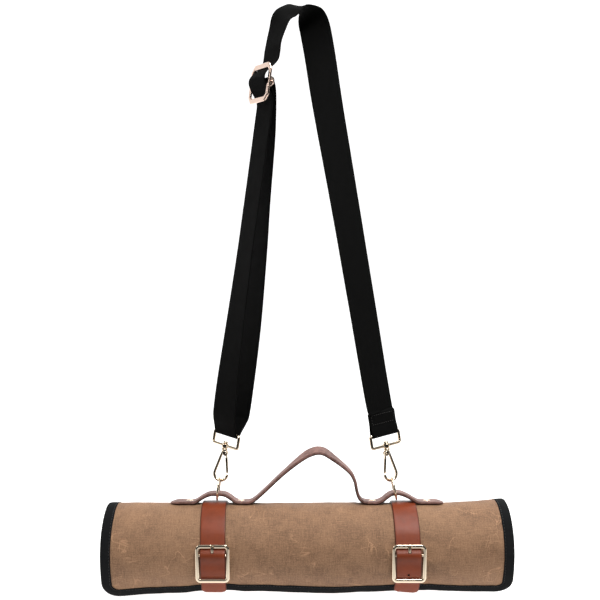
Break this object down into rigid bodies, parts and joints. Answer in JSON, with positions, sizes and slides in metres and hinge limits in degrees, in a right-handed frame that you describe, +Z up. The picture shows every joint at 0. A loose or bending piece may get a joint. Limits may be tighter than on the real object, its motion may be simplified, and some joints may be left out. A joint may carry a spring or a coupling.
{
  "type": "carving tool roll",
  "caption": "Rolled waxed-canvas tool roll for carving tools, closed by buckled leather straps, with a leather grip and a shoulder strap on swivel hooks.",
  "frame": {"origin": "underside of the shoulder strap at its apex, where it rests on a shoulder or a peg", "axes": "+Z up along the hanging object, +X along the roll to the buckles' right as seen from the front, -Y out of the buckled front"},
  "size_m": [0.478, 0.1104, 0.6952],
  "materials": {
    "gold_metal": "polished",
    "spring_steel": "bright",
    "webbing": "woven, cross ribbed",
    "binding": "ribbed",
    "waxed_canvas": "waxed, scuffed",
    "lining": "plain weave",
    "handle_leather": "smooth",
    "strap_leather": "smooth, burnished"
  },
  "bodies": {
    "shoulder_strap": {"shoulder_webbing": "webbing", "left_eye": "gold_metal", "right_eye": "gold_metal"},
    "slider": {"slider_frame": "gold_metal", "slider_bar": "gold_metal", "slider_fold": "webbing"},
    "left_hook": {"left_hook_body": "gold_metal", "left_swivel_post": "gold_metal", "left_gate_pin": "gold_metal", "left_gate_spring": "spring_steel"},
    "left_gate_arm": {"left_gate": "gold_metal"},
    "right_hook": {"right_hook_body": "gold_metal", "right_swivel_post": "gold_metal", "right_gate_pin": "gold_metal", "right_gate_spring": "spring_steel"},
    "right_gate_arm": {"right_gate": "gold_metal"},
    "left_ring_body": {"left_ring": "gold_metal"},
    "right_ring_body": {"right_ring": "gold_metal"},
    "roll": {"outer_canvas": "waxed_canvas", "canvas_lining": "lining", "pocket_panel": "lining", "inner_flap": "lining", "left_end_binding": "binding", "right_end_binding": "binding", "flap_binding": "binding", "handle_strip": "handle_leather", "handle_rivets": "gold_metal", "left_tongue_strap": "strap_leather", "right_tongue_strap": "strap_leather", "strap_rivets": "gold_metal", "left_billet": "strap_leather", "right_billet": "strap_leather", "left_buckle_frame": "gold_metal", "left_buckle_bar": "gold_metal", "right_buckle_frame": "gold_metal", "right_buckle_bar": "gold_metal"},
    "grip": {"handle_grip": "handle_leather"},
    "left_prong_arm": {"left_prong": "gold_metal"},
    "right_prong_arm": {"right_prong": "gold_metal"}
  },
  "joints": [
    {"name": "slider_slide", "type": "slide", "parent": "shoulder_strap", "child": "slider", "axis": [0.1349, 0, 0.9909], "range_m": [-0.008, 0.006]},
    {"name": "left_hook_swivel", "type": "hinge", "parent": "shoulder_strap", "child": "left_hook", "pos_m": [-0.08853, -0.011, -0.52915], "axis": [0.1564, 0, 0.9877], "range_deg": [-15, 15]},
    {"name": "right_hook_swivel", "type": "hinge", "parent": "shoulder_strap", "child": "right_hook", "pos_m": [0.10543, -0.011, -0.52915], "axis": [-0.1564, 0, 0.9877], "range_deg": [-15, 15]},
    {"name": "left_gate_open", "type": "hinge", "parent": "left_hook", "child": "left_gate_arm", "pos_m": [-0.08643, -0.01161, -0.53404], "axis": [0.2078, 0.9776, -0.0329], "range_deg": [0, 25], "stiffness_Nm_per_rad": 0.01, "springref_deg": -17.19},
    {"name": "right_gate_open", "type": "hinge", "parent": "right_hook", "child": "right_gate_arm", "pos_m": [0.10352, -0.01219, -0.53401], "axis": [0.4059, -0.9117, 0.0643], "range_deg": [0, 25], "stiffness_Nm_per_rad": 0.01, "springref_deg": -17.19},
    {"name": "roll_swing", "type": "hinge", "parent": "shoulder_strap", "child": "roll", "pos_m": [0.01, -0.011, -0.5659], "axis": [1, 0, 0], "range_deg": [-45, 45]},
    {"name": "left_ring_turn", "type": "hinge", "parent": "roll", "child": "left_ring_body", "pos_m": [-0.0957, -0.011, -0.5753], "axis": [0.9945, 0, -0.1045], "range_deg": [-90, 90]},
    {"name": "right_ring_turn", "type": "hinge", "parent": "roll", "child": "right_ring_body", "pos_m": [0.1137, -0.011, -0.5751], "axis": [0.9781, 0, 0.2079], "range_deg": [-90, 90]},
    {"name": "handle_fold", "type": "hinge", "parent": "roll", "child": "grip", "pos_m": [0.01, -0.011, -0.5905], "axis": [1, 0, 0], "range_deg": [-60, 60], "stiffness_Nm_per_rad": 0.03},
    {"name": "left_prong_swing", "type": "hinge", "parent": "roll", "child": "left_prong_arm", "pos_m": [-0.098, -0.06551, -0.64052], "axis": [1, 0, 0], "range_deg": [0, 100]},
    {"name": "right_prong_swing", "type": "hinge", "parent": "roll", "child": "right_prong_arm", "pos_m": [0.126, -0.06551, -0.64052], "axis": [1, 0, 0], "range_deg": [0, 100]}
  ]
}
